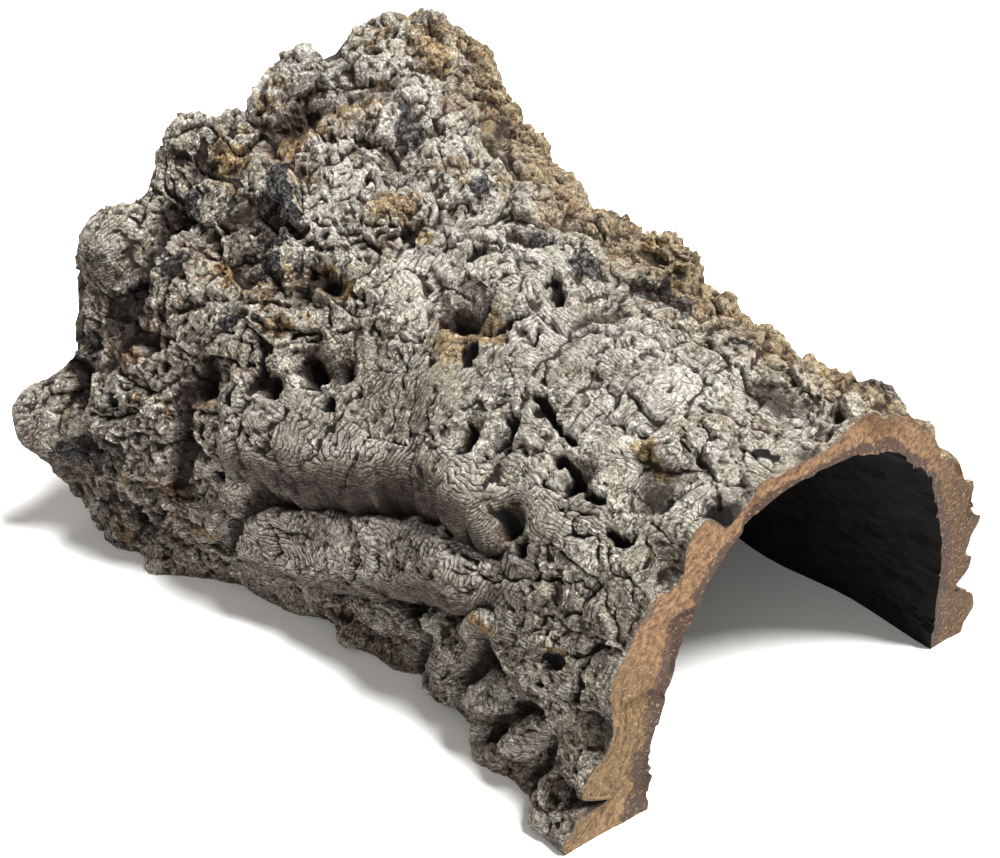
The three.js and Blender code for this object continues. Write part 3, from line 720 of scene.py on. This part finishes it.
def bark_mesh():
    """The whole bark as one closed mesh: outer skin, tunnel, both ends and both bases."""
    corners = Corners()
    points, masks, degrees = outside_grid()
    outside = corners.add(points, **masks)
    share, round_at = np.meshgrid(np.linspace(0, 1, TUNNEL_ROWS + 1), degrees, indexing="ij")
    s = share * LENGTH
    t = round_at * 2
    rough = 1.8 * layered(s, t, 14, 161) + 1.4 * (np.abs(noise(s * 0.5, t, 6, 171)) - 0.4)
    rough = terraced(rough, s, t, TUNNEL_LAYER_PITCH, 176)
    edge = smooth(0, 8, round_at) * smooth(0, 8, 180 - round_at)
    inner_points = points_at(share, round_at, tunnel_radius(share, round_at) + rough * edge, 0.4)
    tunnel = corners.add(inner_points, along=share, round=round_at / 180, deep=1.0)
    front_points, front_share = cut_face(points[0], inner_points[0], -1, 181)
    back_points, back_share = cut_face(points[-1], inner_points[-1], 1, 191)
    front = corners.add(front_points, deep=front_share, round=degrees[None] / 180)
    back = corners.add(back_points, deep=back_share, round=degrees[None] / 180, along=1.0)
    front = np.concatenate([outside[:1], front, tunnel[:1]])
    back = np.concatenate([outside[-1:], back, tunnel[-1:]])
    patches = [
        (quads(outside), 0),
        (quads(tunnel, True), 2),
        (quads(front, True), 1),
        (quads(back), 1),
    ]
    along, along_tunnel = np.linspace(0, 1, ROWS + 1), np.linspace(0, 1, TUNNEL_ROWS + 1)
    for column, turned in ((0, True), (-1, False)):
        outer_line = points[:, column]
        inner_line = [np.interp(along, along_tunnel, inner_points[:, column, k]) for k in range(3)]
        inner_line = np.stack(inner_line, -1)
        share = (np.arange(1, FACE_ROWS) / FACE_ROWS)[:, None]
        base_points = lerp(outer_line[None, 1:-1], inner_line[None, 1:-1], share[..., None])
        base = corners.add(base_points, deep=share)
        rows = np.concatenate([front[1:-1, column][:, None], base, back[1:-1, column][:, None]], axis=1)
        base = np.concatenate([outside[:, column][None], rows])
        patches.append((quads(base, not turned), 1))
        patches.append((join_lines(base[-1], tunnel[:, column], turned), 1))
    return corners, patches


def make_bark(materials):
    """The mesh object, thinned to the triangles it may have, with its masks as attributes."""
    corners, patches = bark_mesh()
    mesh = bpy.data.meshes.new("cork_bark_surface")
    points = np.concatenate(corners.points) * MM
    loops = np.concatenate([faces.ravel() for faces, _ in patches])
    sizes = np.concatenate([np.full(len(faces), faces.shape[1]) for faces, _ in patches])
    slots = np.concatenate([np.full(len(faces), slot) for faces, slot in patches])
    mesh.vertices.add(len(points))
    mesh.vertices.foreach_set("co", points.astype(np.float32).ravel())
    mesh.loops.add(len(loops))
    mesh.loops.foreach_set("vertex_index", loops.astype(np.int32))
    mesh.polygons.add(len(sizes))
    mesh.polygons.foreach_set("loop_start", np.concatenate([[0], np.cumsum(sizes)[:-1]]).astype(np.int32))
    mesh.polygons.foreach_set("material_index", slots.astype(np.int32))
    mesh.polygons.foreach_set("use_smooth", np.ones(len(sizes), bool))
    mesh.update(calc_edges=True)
    for name, column in corners.masks.items():
        attribute = mesh.attributes.new(name, "FLOAT", "POINT")
        attribute.data.foreach_set("value", np.concatenate(column).astype(np.float32))
    for material in materials:
        mesh.materials.append(material)
    bark = bpy.data.objects.new("cork_bark_surface", mesh)
    bpy.context.collection.objects.link(bark)
    triangles = int((sizes - 2).sum())
    thin = bark.modifiers.new("thin", "DECIMATE")
    thin.ratio = MOST_TRIANGLES / triangles
    evaluated = bark.evaluated_get(bpy.context.evaluated_depsgraph_get())
    thinned = bpy.data.meshes.new_from_object(evaluated)
    bark.modifiers.clear()
    bark.data = thinned
    thinned.set_sharp_from_angle(angle=np.radians(SHARP_FROM))
    return bark


class Recipe:
    """A material's nodes, added one by one."""

    def __init__(self, name):
        self.material = bpy.data.materials.new(name)
        self.material.use_nodes = True
        self.tree = self.material.node_tree
        self.surface = self.tree.nodes["Principled BSDF"]
        self.place = self.node("ShaderNodeTexCoord").outputs["Object"]

    def node(self, kind, **settings):
        made = self.tree.nodes.new(kind)
        for name, value in settings.items():
            setattr(made, name, value)
        return made

    def link(self, value, socket):
        """Sets a socket from another node's output or from a plain value."""
        if isinstance(value, bpy.types.NodeSocket):
            self.tree.links.new(value, socket)
        else:
            socket.default_value = value

    def mask(self, name):
        return self.node("ShaderNodeAttribute", attribute_name=name).outputs["Fac"]

    def math(self, operation, a, b=0.0, c=0.0):
        made = self.node("ShaderNodeMath", operation=operation)
        for value, socket in zip((a, b, c), made.inputs):
            self.link(value, socket)
        return made.outputs[0]

    def span(self, value, low, high, to_low=0.0, to_high=1.0):
        """value mapped from low..high to to_low..to_high along an even curve, and held there outside."""
        made = self.node("ShaderNodeMapRange", interpolation_type="SMOOTHSTEP")
        for item, socket in zip((value, low, high, to_low, to_high), made.inputs):
            self.link(item, socket)
        return made.outputs[0]

    def times(self, a, b):
        return self.math("MULTIPLY", a, b)

    def plus(self, a, b):
        return self.math("ADD", a, b)

    def less(self, a, b):
        return self.math("SUBTRACT", a, b)

    def most(self, a, b):
        return self.math("MAXIMUM", a, b)

    def between(self, first, second, share):
        return self.math("MULTIPLY_ADD", self.less(second, first), share, first)

    def vector(self, operation, *values):
        made = self.node("ShaderNodeVectorMath", operation=operation)
        for value, socket in zip(values, made.inputs):
            self.link(value, socket)
        return made.outputs[0]

    def texture(self, kind, size, place, outlet, sockets, **settings):
        """A texture with features about size apart, in millimetres."""
        made = self.node(kind, **settings)
        sockets = {"Vector": place or self.place, "Scale": 1 / (size * MM), **sockets}
        for name, value in sockets.items():
            self.link(value, made.inputs[name])
        return made.outputs[outlet]

    def ridges(self, size):
        """Noise with sharp ridges about size apart."""
        sockets = {"Detail": 6.0, "Roughness": 0.75, "Offset": 1.0, "Gain": 1.6}
        kind = "RIDGED_MULTIFRACTAL"
        return self.texture("ShaderNodeTexNoise", size, None, "Fac", sockets, noise_type=kind)

    def grain(self, size, detail=4.0, rough=0.55, place=None, warp=0.0):
        """Noise with hills of about size."""
        sockets = {"Detail": detail, "Roughness": rough, "Distortion": warp}
        return self.texture("ShaderNodeTexNoise", size, place, "Fac", sockets)

    def cells(self, size, place):
        """Cells of about size, as the distance to their border."""
        return self.texture("ShaderNodeTexVoronoi", size, place, "Distance", {}, feature="DISTANCE_TO_EDGE")

    def wandering(self, size, reach, detail=3.0, place=None):
        """The place shifted by noise, so that a pattern on it wanders."""
        shift = self.texture("ShaderNodeTexNoise", size, None, "Color", {"Detail": detail})
        return self.vector("MULTIPLY_ADD", shift, (reach * MM,) * 3, place or self.place)

    def unrolled(self, along, around):
        """The place on the bark laid out flat and stretched; a smaller stretch makes a longer pattern."""
        flat = self.node("ShaderNodeCombineXYZ")
        self.link(self.times(self.mask("along"), LENGTH * MM * along), flat.inputs[0])
        self.link(self.times(self.mask("round"), 180 * DEGREE_IN_PATTERN * MM * around), flat.inputs[1])
        return self.wandering(14, 10, 4.0, flat.outputs[0])

    def colour(self, share, first, second, blend="MIX"):
        made = self.node("ShaderNodeMix", data_type="RGBA", blend_type=blend)
        self.link(share, made.inputs["Factor"])
        for value, name in ((first, "A"), (second, "B")):
            socket = next(i for i in made.inputs if i.name == name and i.type == "RGBA")
            self.link(sealed(value), socket)
        return next(o for o in made.outputs if o.type == "RGBA")

    def tinted(self, colour, *tints, blend="MIX"):
        """A colour with others laid over it in turn, each given after its share."""
        for share, tint in tints:
            colour = self.colour(share, colour, tint, blend)
        return colour

    def bump(self, height, distance, strength=1.0, below=None):
        made = self.node("ShaderNodeBump")
        self.link(strength, made.inputs["Strength"])
        self.link(distance * MM, made.inputs["Distance"])
        self.link(height, made.inputs["Height"])
        if below:
            self.link(below, made.inputs["Normal"])
        return made.outputs[0]

    def finish(self, colour, roughness, normal=None, shine=0.25):
        self.link(sealed(colour), self.surface.inputs["Base Color"])
        self.link(roughness, self.surface.inputs["Roughness"])
        self.surface.inputs["Specular IOR Level"].default_value = shine
        if normal:
            self.link(normal, self.surface.inputs["Normal"])
        return self.material


def sealed(value):
    """A colour given as red, green and blue from 0 to 255 as a screen shows it, made linear for a socket."""
    if isinstance(value, bpy.types.NodeSocket):
        return value
    share = np.array(value, float) / 255
    linear = np.where(share <= 0.04045, share / 12.92, ((share + 0.055) / 1.055) ** 2.4)
    return (*linear, 1.0)


def growth_lines(r):
    """The edges of the growth layers, as a sawtooth that rises from 0 just under an edge to 1 on top of it.
    They run lengthways or crossways by turns, and level on steep flanks. Also gives where they show and
    where it is steep."""
    lengthways = r.times(r.mask("round"), 180 * DEGREE_IN_PATTERN / LINE_PITCH["lengthways"])
    crossways = r.times(r.mask("along"), LENGTH / LINE_PITCH["crossways"])
    level = r.between(lengthways, crossways, r.span(r.grain(26, 3), 0.505, 0.515))
    steep = r.span(r.math("MULTIPLY_ADD", r.grain(6, 3), 0.3, r.mask("facing")), 0.08, 0.04)
    height = r.node("ShaderNodeSeparateXYZ")
    r.link(r.place, height.inputs[0])
    level = r.between(level, r.math("DIVIDE", height.outputs[2], LINE_PITCH["upright"] * MM), steep)
    bend = r.plus(r.times(r.mask("layer"), 3.0), r.times(r.grain(19, 2, 0.6), 7.0))
    level = r.plus(r.plus(level, bend), r.times(r.grain(2.6, 4, 0.65), 0.8))
    strength = r.times(r.span(r.grain(14, 4), 0.4, 0.56), r.span(r.mask("rough"), 0.2, 0.9, 0.75, 0.5))
    in_patches = r.times(r.mask("stepped"), r.span(r.grain(9, 4), 0.36, 0.56, 0.35, 1))
    return r.math("FRACT", level), r.most(strength, in_patches), steep


def fine_folds(r, steep):
    """Crinkles and wrinkles that run with the bark, and the cracks between its small plates."""
    lengthwise, crosswise = r.unrolled(0.33, 1.0), r.unrolled(1.0, 0.33)
    flow = r.node("ShaderNodeMix", data_type="VECTOR")
    for value, place in ((r.span(r.grain(11, 3), 0.45, 0.55), 0), (lengthwise, 4), (crosswise, 5)):
        r.link(value, flow.inputs[place])
    crinkle = r.between(r.grain(1.0, 6, 0.8, flow.outputs[1]), r.grain(1.5, 5, 0.75), steep)
    wrinkle = r.most(r.grain(1.7, 5, 0.7, lengthwise), r.grain(1.7, 5, 0.7, crosswise))
    plate = r.span(r.cells(7.5, r.wandering(7, 7)), 0.0, 0.05, 0.9, 0)
    block = r.span(r.cells(10, r.unrolled(1.3, 0.4)), 0.0, 0.04, 0.9, 0)
    cracks = r.most(r.times(plate, r.span(r.grain(13, 3), 0.5, 0.58)),
                    r.times(block, r.span(r.grain(12, 2), 0.5, 0.57)))
    return crinkle, wrinkle, cracks


def weathered_grey_and_low_shade(r, patchy):
    """The bark's grey before any line is drawn: pale, with brown and greenish patches. The lower near side
    is darker, partly the bark's own violet-grey and partly painted shade.
    """
    grey = r.colour(r.span(patchy, 0.38, 0.6), (192, 184, 166), (250, 246, 232))
    grey = r.colour(r.span(r.mask("tone"), 0.3, 0.75, 0, 0.5), grey, (186, 170, 150))
    grey = r.colour(r.span(r.grain(9, 6, 0.7), 0.5, 0.6, 0, 0.6), grey, (236, 237, 216))
    brown = r.times(r.span(r.grain(24, 5, 0.65), 0.48, 0.62), r.span(r.mask("rough"), 0.2, 0.9, 0.25, 0.9))
    grey = r.colour(brown, grey, (164, 136, 104))
    # Painted shade, partly the bark's own violet-grey: darker low on the near side, weaker towards the
    # front.
    low = r.times(r.span(r.mask("round"), 0.22, 0.3, 0.4, 0.0), r.span(r.mask("along"), 0.1, 0.3, 0.3, 1))
    return r.colour(low, grey, (146, 132, 125))


def stained_and_shaded(r, grey, patchy):
    """Tan and slate patches where the bark broke, and the dull near side, darker where it faces down, which
    is painted shade. Also gives where it is slate.
    """
    rough, around = r.mask("rough"), r.mask("round")
    wander = r.times(r.less(r.grain(5, 6, 0.75), 0.5), 1.3)
    scatter = r.times(r.span(r.grain(16, 5, 0.6), 0.58, 0.62, 0, 0.8), rough)
    tan = r.most(r.span(r.plus(r.mask("tan"), wander), 0.26, 0.42, 0, 0.95), scatter)
    tans = r.colour(r.span(r.grain(5, 5, 0.7), 0.42, 0.58), (200, 172, 132), (250, 228, 192))
    grey = r.colour(tan, grey, tans, "MULTIPLY")
    far = r.times(r.span(around, 0.49, 0.57, 0, 0.9), r.span(patchy, 0.3, 0.6, 0.6, 1))
    grey = r.colour(far, grey, (218, 196, 158), "MULTIPLY")
    scatter = r.times(r.span(r.grain(11, 5, 0.65), 0.6, 0.64, 0, 0.8), rough)
    slate = r.most(r.span(r.less(r.mask("slate"), wander), 0.3, 0.44, 0, 0.95), scatter)
    slates = r.colour(r.span(r.grain(2.4, 6, 0.8), 0.47, 0.6), (36, 38, 50), (196, 200, 212))
    grey = r.colour(slate, grey, slates, "MULTIPLY")
    # Painted shade over the dull patches' own duller colour: they darken more where they face down.
    dull_and_painted_light = r.times(r.mask("dull_and_painted_light"), r.span(r.mask("facing"), 0.25, -0.1, 0.3, 0.75))
    return r.colour(dull_and_painted_light, grey, (164, 152, 143), "MULTIPLY"), slate


def soiled_and_shaded(r, grey, mottle):
    """Brown in all that is sunken, partly dirt and partly painted shade; painted shade on undersides; and
    holes painted nearly black as painted shade.
    """
    loose = r.times(r.less(mottle, 0.5), 0.6)
    # Dirt and painted shade: brown in fine cracks, in hollows and in the valleys between the rolls.
    dirt_and_shade = r.span(r.plus(r.mask("cavity"), loose), 0.58, 0.86, 0, 0.95)
    dirt_and_shade = r.most(dirt_and_shade, r.span(r.plus(r.mask("hollow"), loose), 0.64, 0.94, 0, 0.85))
    dirt_and_shade = r.most(dirt_and_shade, r.span(r.plus(r.mask("valley"), loose), 0.6, 0.86, 0, 0.9))
    # Painted shade on undersides: darker where a place faces further down than its surroundings.
    underside_shade = r.span(r.less(r.mask("facing"), r.times(loose, 0.7)), -0.1, -0.48, 0, 0.7)
    grey = r.colour(underside_shade, grey, (140, 124, 116), "MULTIPLY")
    grey = r.colour(dirt_and_shade, grey, (50, 35, 23))
    # Painted shade: holes and slits nearly black.
    return r.colour(r.span(r.plus(r.mask("pit"), loose), 0.3, 0.7), grey, (18, 12, 8))


def bark_material():
    """Weathered grey outer bark: pale on what stands out, as painted highlight, brown in cracks, partly dirt
    and partly painted shade, tan and slate where it broke. The edges of its growth layers, thin wandering
    steps, cover most of it, with painted highlight on top of each and painted shade under its edge."""
    r = Recipe("outer bark")
    patchy = r.grain(17, 6, 0.65)
    mottle = r.grain(4.5, 8, 0.8)
    crisp = r.span(r.ridges(2.6), 0.25, 1.5)
    step, step_here, steep = growth_lines(r)
    crinkle, wrinkle, cracks = fine_folds(r, steep)
    crease = r.span(r.math("ABSOLUTE", r.less(r.grain(3.2, 6, 0.7), 0.5)), 0.0, 0.03, 1, 0)
    fine_share = r.less(1.0, r.times(r.mask("stepped"), 0.4))

    # Over the grey: random mottle; painted shade in the low parts of the fine ridges; painted highlight on
    # what stands out, on the upward faces of dull patches and on top of each growth-layer step.
    grey = r.tinted(
        weathered_grey_and_low_shade(r, patchy),
        (r.span(mottle, 0.5, 0.66, 0, 0.5), (104, 88, 70)),
        (r.span(crisp, 0.42, 0.0, 0, 0.6), (76, 61, 47)),
        (r.span(mottle, 0.47, 0.34, 0, 0.6), (255, 250, 240)),
        (r.span(r.mask("cavity"), 0.44, 0.12, 0, 0.5), (248, 242, 230)),
        (r.times(r.span(r.mask("facing"), 0.02, 0.3, 0, 0.5), r.mask("dull_and_painted_light")), (255, 252, 246)),
        (r.times(r.times(r.span(step, 0.5, 0.85), step_here), 0.6), (255, 252, 244)))
    # Painted shade and highlight after the fine bump: the crinkle darkens its low parts and lightens its
    # high ones. The dark lines in wrinkles, creases and cracks are partly their own colour and partly
    # painted shade, and the dark just under each growth-layer edge is painted shade.
    grey = r.tinted(
        r.colour(fine_share, grey, r.span(crinkle, 0.4, 0.6, 0.36, 1.2), "MULTIPLY"),
        (r.times(r.span(wrinkle, 0.54, 0.66, 0, 0.7), fine_share), (78, 63, 49)),
        (r.times(r.times(r.span(step, 0.08, 0.42, 1, 0), step_here), 0.92), (46, 35, 26)),
        (r.times(crease, 0.75), (54, 41, 30)),
        (r.times(cracks, 0.8), (42, 31, 22)))
    grey, slate = stained_and_shaded(r, grey, patchy)
    grey = soiled_and_shaded(r, grey, mottle)
    # Painted shade: on the lower near side the colour is raised to a power above 1, which darkens its middle
    # tones.
    strong = r.node("ShaderNodeGamma")
    r.link(grey, strong.inputs["Color"])
    r.link(r.span(r.mask("round"), 0.28, 0.42, 1.35, 1.0), strong.inputs["Gamma"])

    height = r.plus(r.times(mottle, 1.2), r.times(wrinkle, -0.9))
    height = r.less(height, r.times(cracks, 1.1))
    height = r.plus(height, r.times(r.times(step, step_here), 2.2))
    height = r.less(height, r.times(crease, 0.5))
    height = r.plus(height, r.times(crisp, 0.9))
    normal = r.bump(crinkle, 1.3, 1.0, r.bump(height, 1.8))
    return r.finish(strong.outputs[0], r.span(slate, 0.2, 0.8, 0.85, 0.24), normal, 0.35)


def sawn_material():
    """Sawn cork: fibres that run along the wall, flecks, a granular crown, and a dark rim by the tunnel."""
    r = Recipe("sawn cork")
    deep, around = r.mask("deep"), r.mask("round")
    flat = r.node("ShaderNodeCombineXYZ")
    r.link(r.times(deep, 30 * MM), flat.inputs[0])
    r.link(r.times(around, 180 * DEGREE_IN_PATTERN * 0.22 * MM), flat.inputs[1])
    fibre = r.grain(2.2, 6, 0.75, flat.outputs[0], 1.2)
    grain = r.grain(2.4, 7, 0.8)
    near = r.colour(r.span(fibre, 0.34, 0.64), (72, 53, 34), (146, 119, 80))
    crown = r.colour(r.span(grain, 0.36, 0.64), (76, 53, 37), (178, 138, 98))
    body = r.colour(r.span(r.plus(around, r.times(grain, 0.06)), 0.22, 0.3), near, crown)
    body = r.colour(r.span(around, 0.6, 0.75, 0, 0.7), body, (52, 38, 26))
    rim = r.plus(deep, r.times(r.less(r.grain(8, 5, 0.65), 0.5), 0.9))
    body = r.colour(r.span(rim, 0.66, 0.78, 0, 0.9), body, r.colour(grain, (38, 28, 26), (92, 72, 64)))
    body = r.colour(r.span(rim, 0.06, -0.02, 0, 0.8), body, (92, 78, 62))
    fleck = r.span(r.grain(1.2, 5, 0.75), 0.54, 0.64, 0, 0.75)
    body = r.colour(fleck, body, (62, 41, 27))
    pale = r.span(r.grain(1.5, 4, 0.7, r.vector("MULTIPLY", r.place, (1.2, 1.0, 1.4))), 0.56, 0.66, 0, 0.6)
    body = r.colour(pale, body, (204, 170, 130))
    normal = r.bump(r.plus(grain, fibre), 2.0, 1.0)
    normal = r.bump(r.grain(0.8, 4, 0.75), 0.7, 0.8, normal)
    return r.finish(body, 0.85, normal, 0.25)


def tunnel_material():
    """The tunnel's wall: dark brown inner bark, painted nearly black as painted shade."""
    r = Recipe("tunnel wall")
    grain = r.grain(6, 6, 0.65)
    # Painted shade, partly the inner bark's dark brown: the wall is nearly black.
    body = r.colour(r.span(grain, 0.35, 0.7), (2, 1.5, 1.5), (13, 9, 8))
    normal = r.bump(grain, 2.0, 0.8)
    return r.finish(body, 0.95, normal, 0.15)


# The photograph's camera, in the row frame
CAMERA_AT = Vector((0.421, -0.271, 0.397))
CAMERA_FORWARD = Vector((-0.702, 0.477, -0.530))
CAMERA_LENS, SENSOR_WIDTH = 46.8, 36
# name, the side the light comes from, spread in degrees, strength
LIGHTS = (("key", (0.36, 0.34, 1.0), 20, 10.4), ("fill", (0.9, -0.9, 0.8), 60, 0.75))
SKY_COLOUR, SKY_STRENGTH = (1.0, 0.95, 0.89, 1), 0.36
FLOOR_REACH, FLOOR_COLOUR = 6.0, (238, 238, 236)


def place_camera():
    data = bpy.data.cameras.new("camera")
    data.lens = CAMERA_LENS
    data.sensor_fit = "HORIZONTAL"
    data.sensor_width = SENSOR_WIDTH
    data.clip_start = 0.01
    camera = bpy.data.objects.new("camera", data)
    camera.location = CAMERA_AT
    camera.rotation_euler = CAMERA_FORWARD.to_track_quat("-Z", "Y").to_euler()
    bpy.context.collection.objects.link(camera)
    bpy.context.scene.camera = camera


def far_light(name, at, spread, strength):
    """Light from one side of the sky; a wider spread, in degrees, has softer shadows."""
    data = bpy.data.lights.new(name, "SUN")
    data.angle = np.radians(spread)
    data.energy = strength
    light = bpy.data.objects.new(name, data)
    light.rotation_euler = (-Vector(at)).to_track_quat("-Z", "Y").to_euler()
    bpy.context.collection.objects.link(light)


def make_stage():
    """A plain pale floor, soft light from above and a dim even sky."""
    floor_mesh = bpy.data.meshes.new("floor")
    corners = [(x * FLOOR_REACH, y * FLOOR_REACH, 0) for x, y in ((-1, -1), (1, -1), (1, 1), (-1, 1))]
    floor_mesh.from_pydata(corners, [], [(0, 1, 2, 3)])
    floor = bpy.data.objects.new("floor", floor_mesh)
    bpy.context.collection.objects.link(floor)
    floor_mesh.materials.append(Recipe("floor").finish(FLOOR_COLOUR, 0.8))
    for name, at, spread, strength in LIGHTS:
        far_light(name, at, spread, strength)
    world = bpy.data.worlds.new("sky")
    world.use_nodes = True
    sky = world.node_tree.nodes["Background"]
    sky.inputs["Color"].default_value = SKY_COLOUR
    sky.inputs["Strength"].default_value = SKY_STRENGTH
    bpy.context.scene.world = world
    bpy.context.scene.view_settings.view_transform = "Standard"


place_camera()
make_stage()
bark = make_bark([bark_material(), sawn_material(), tunnel_material()])
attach(bark, "root")
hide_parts("cork_bark")
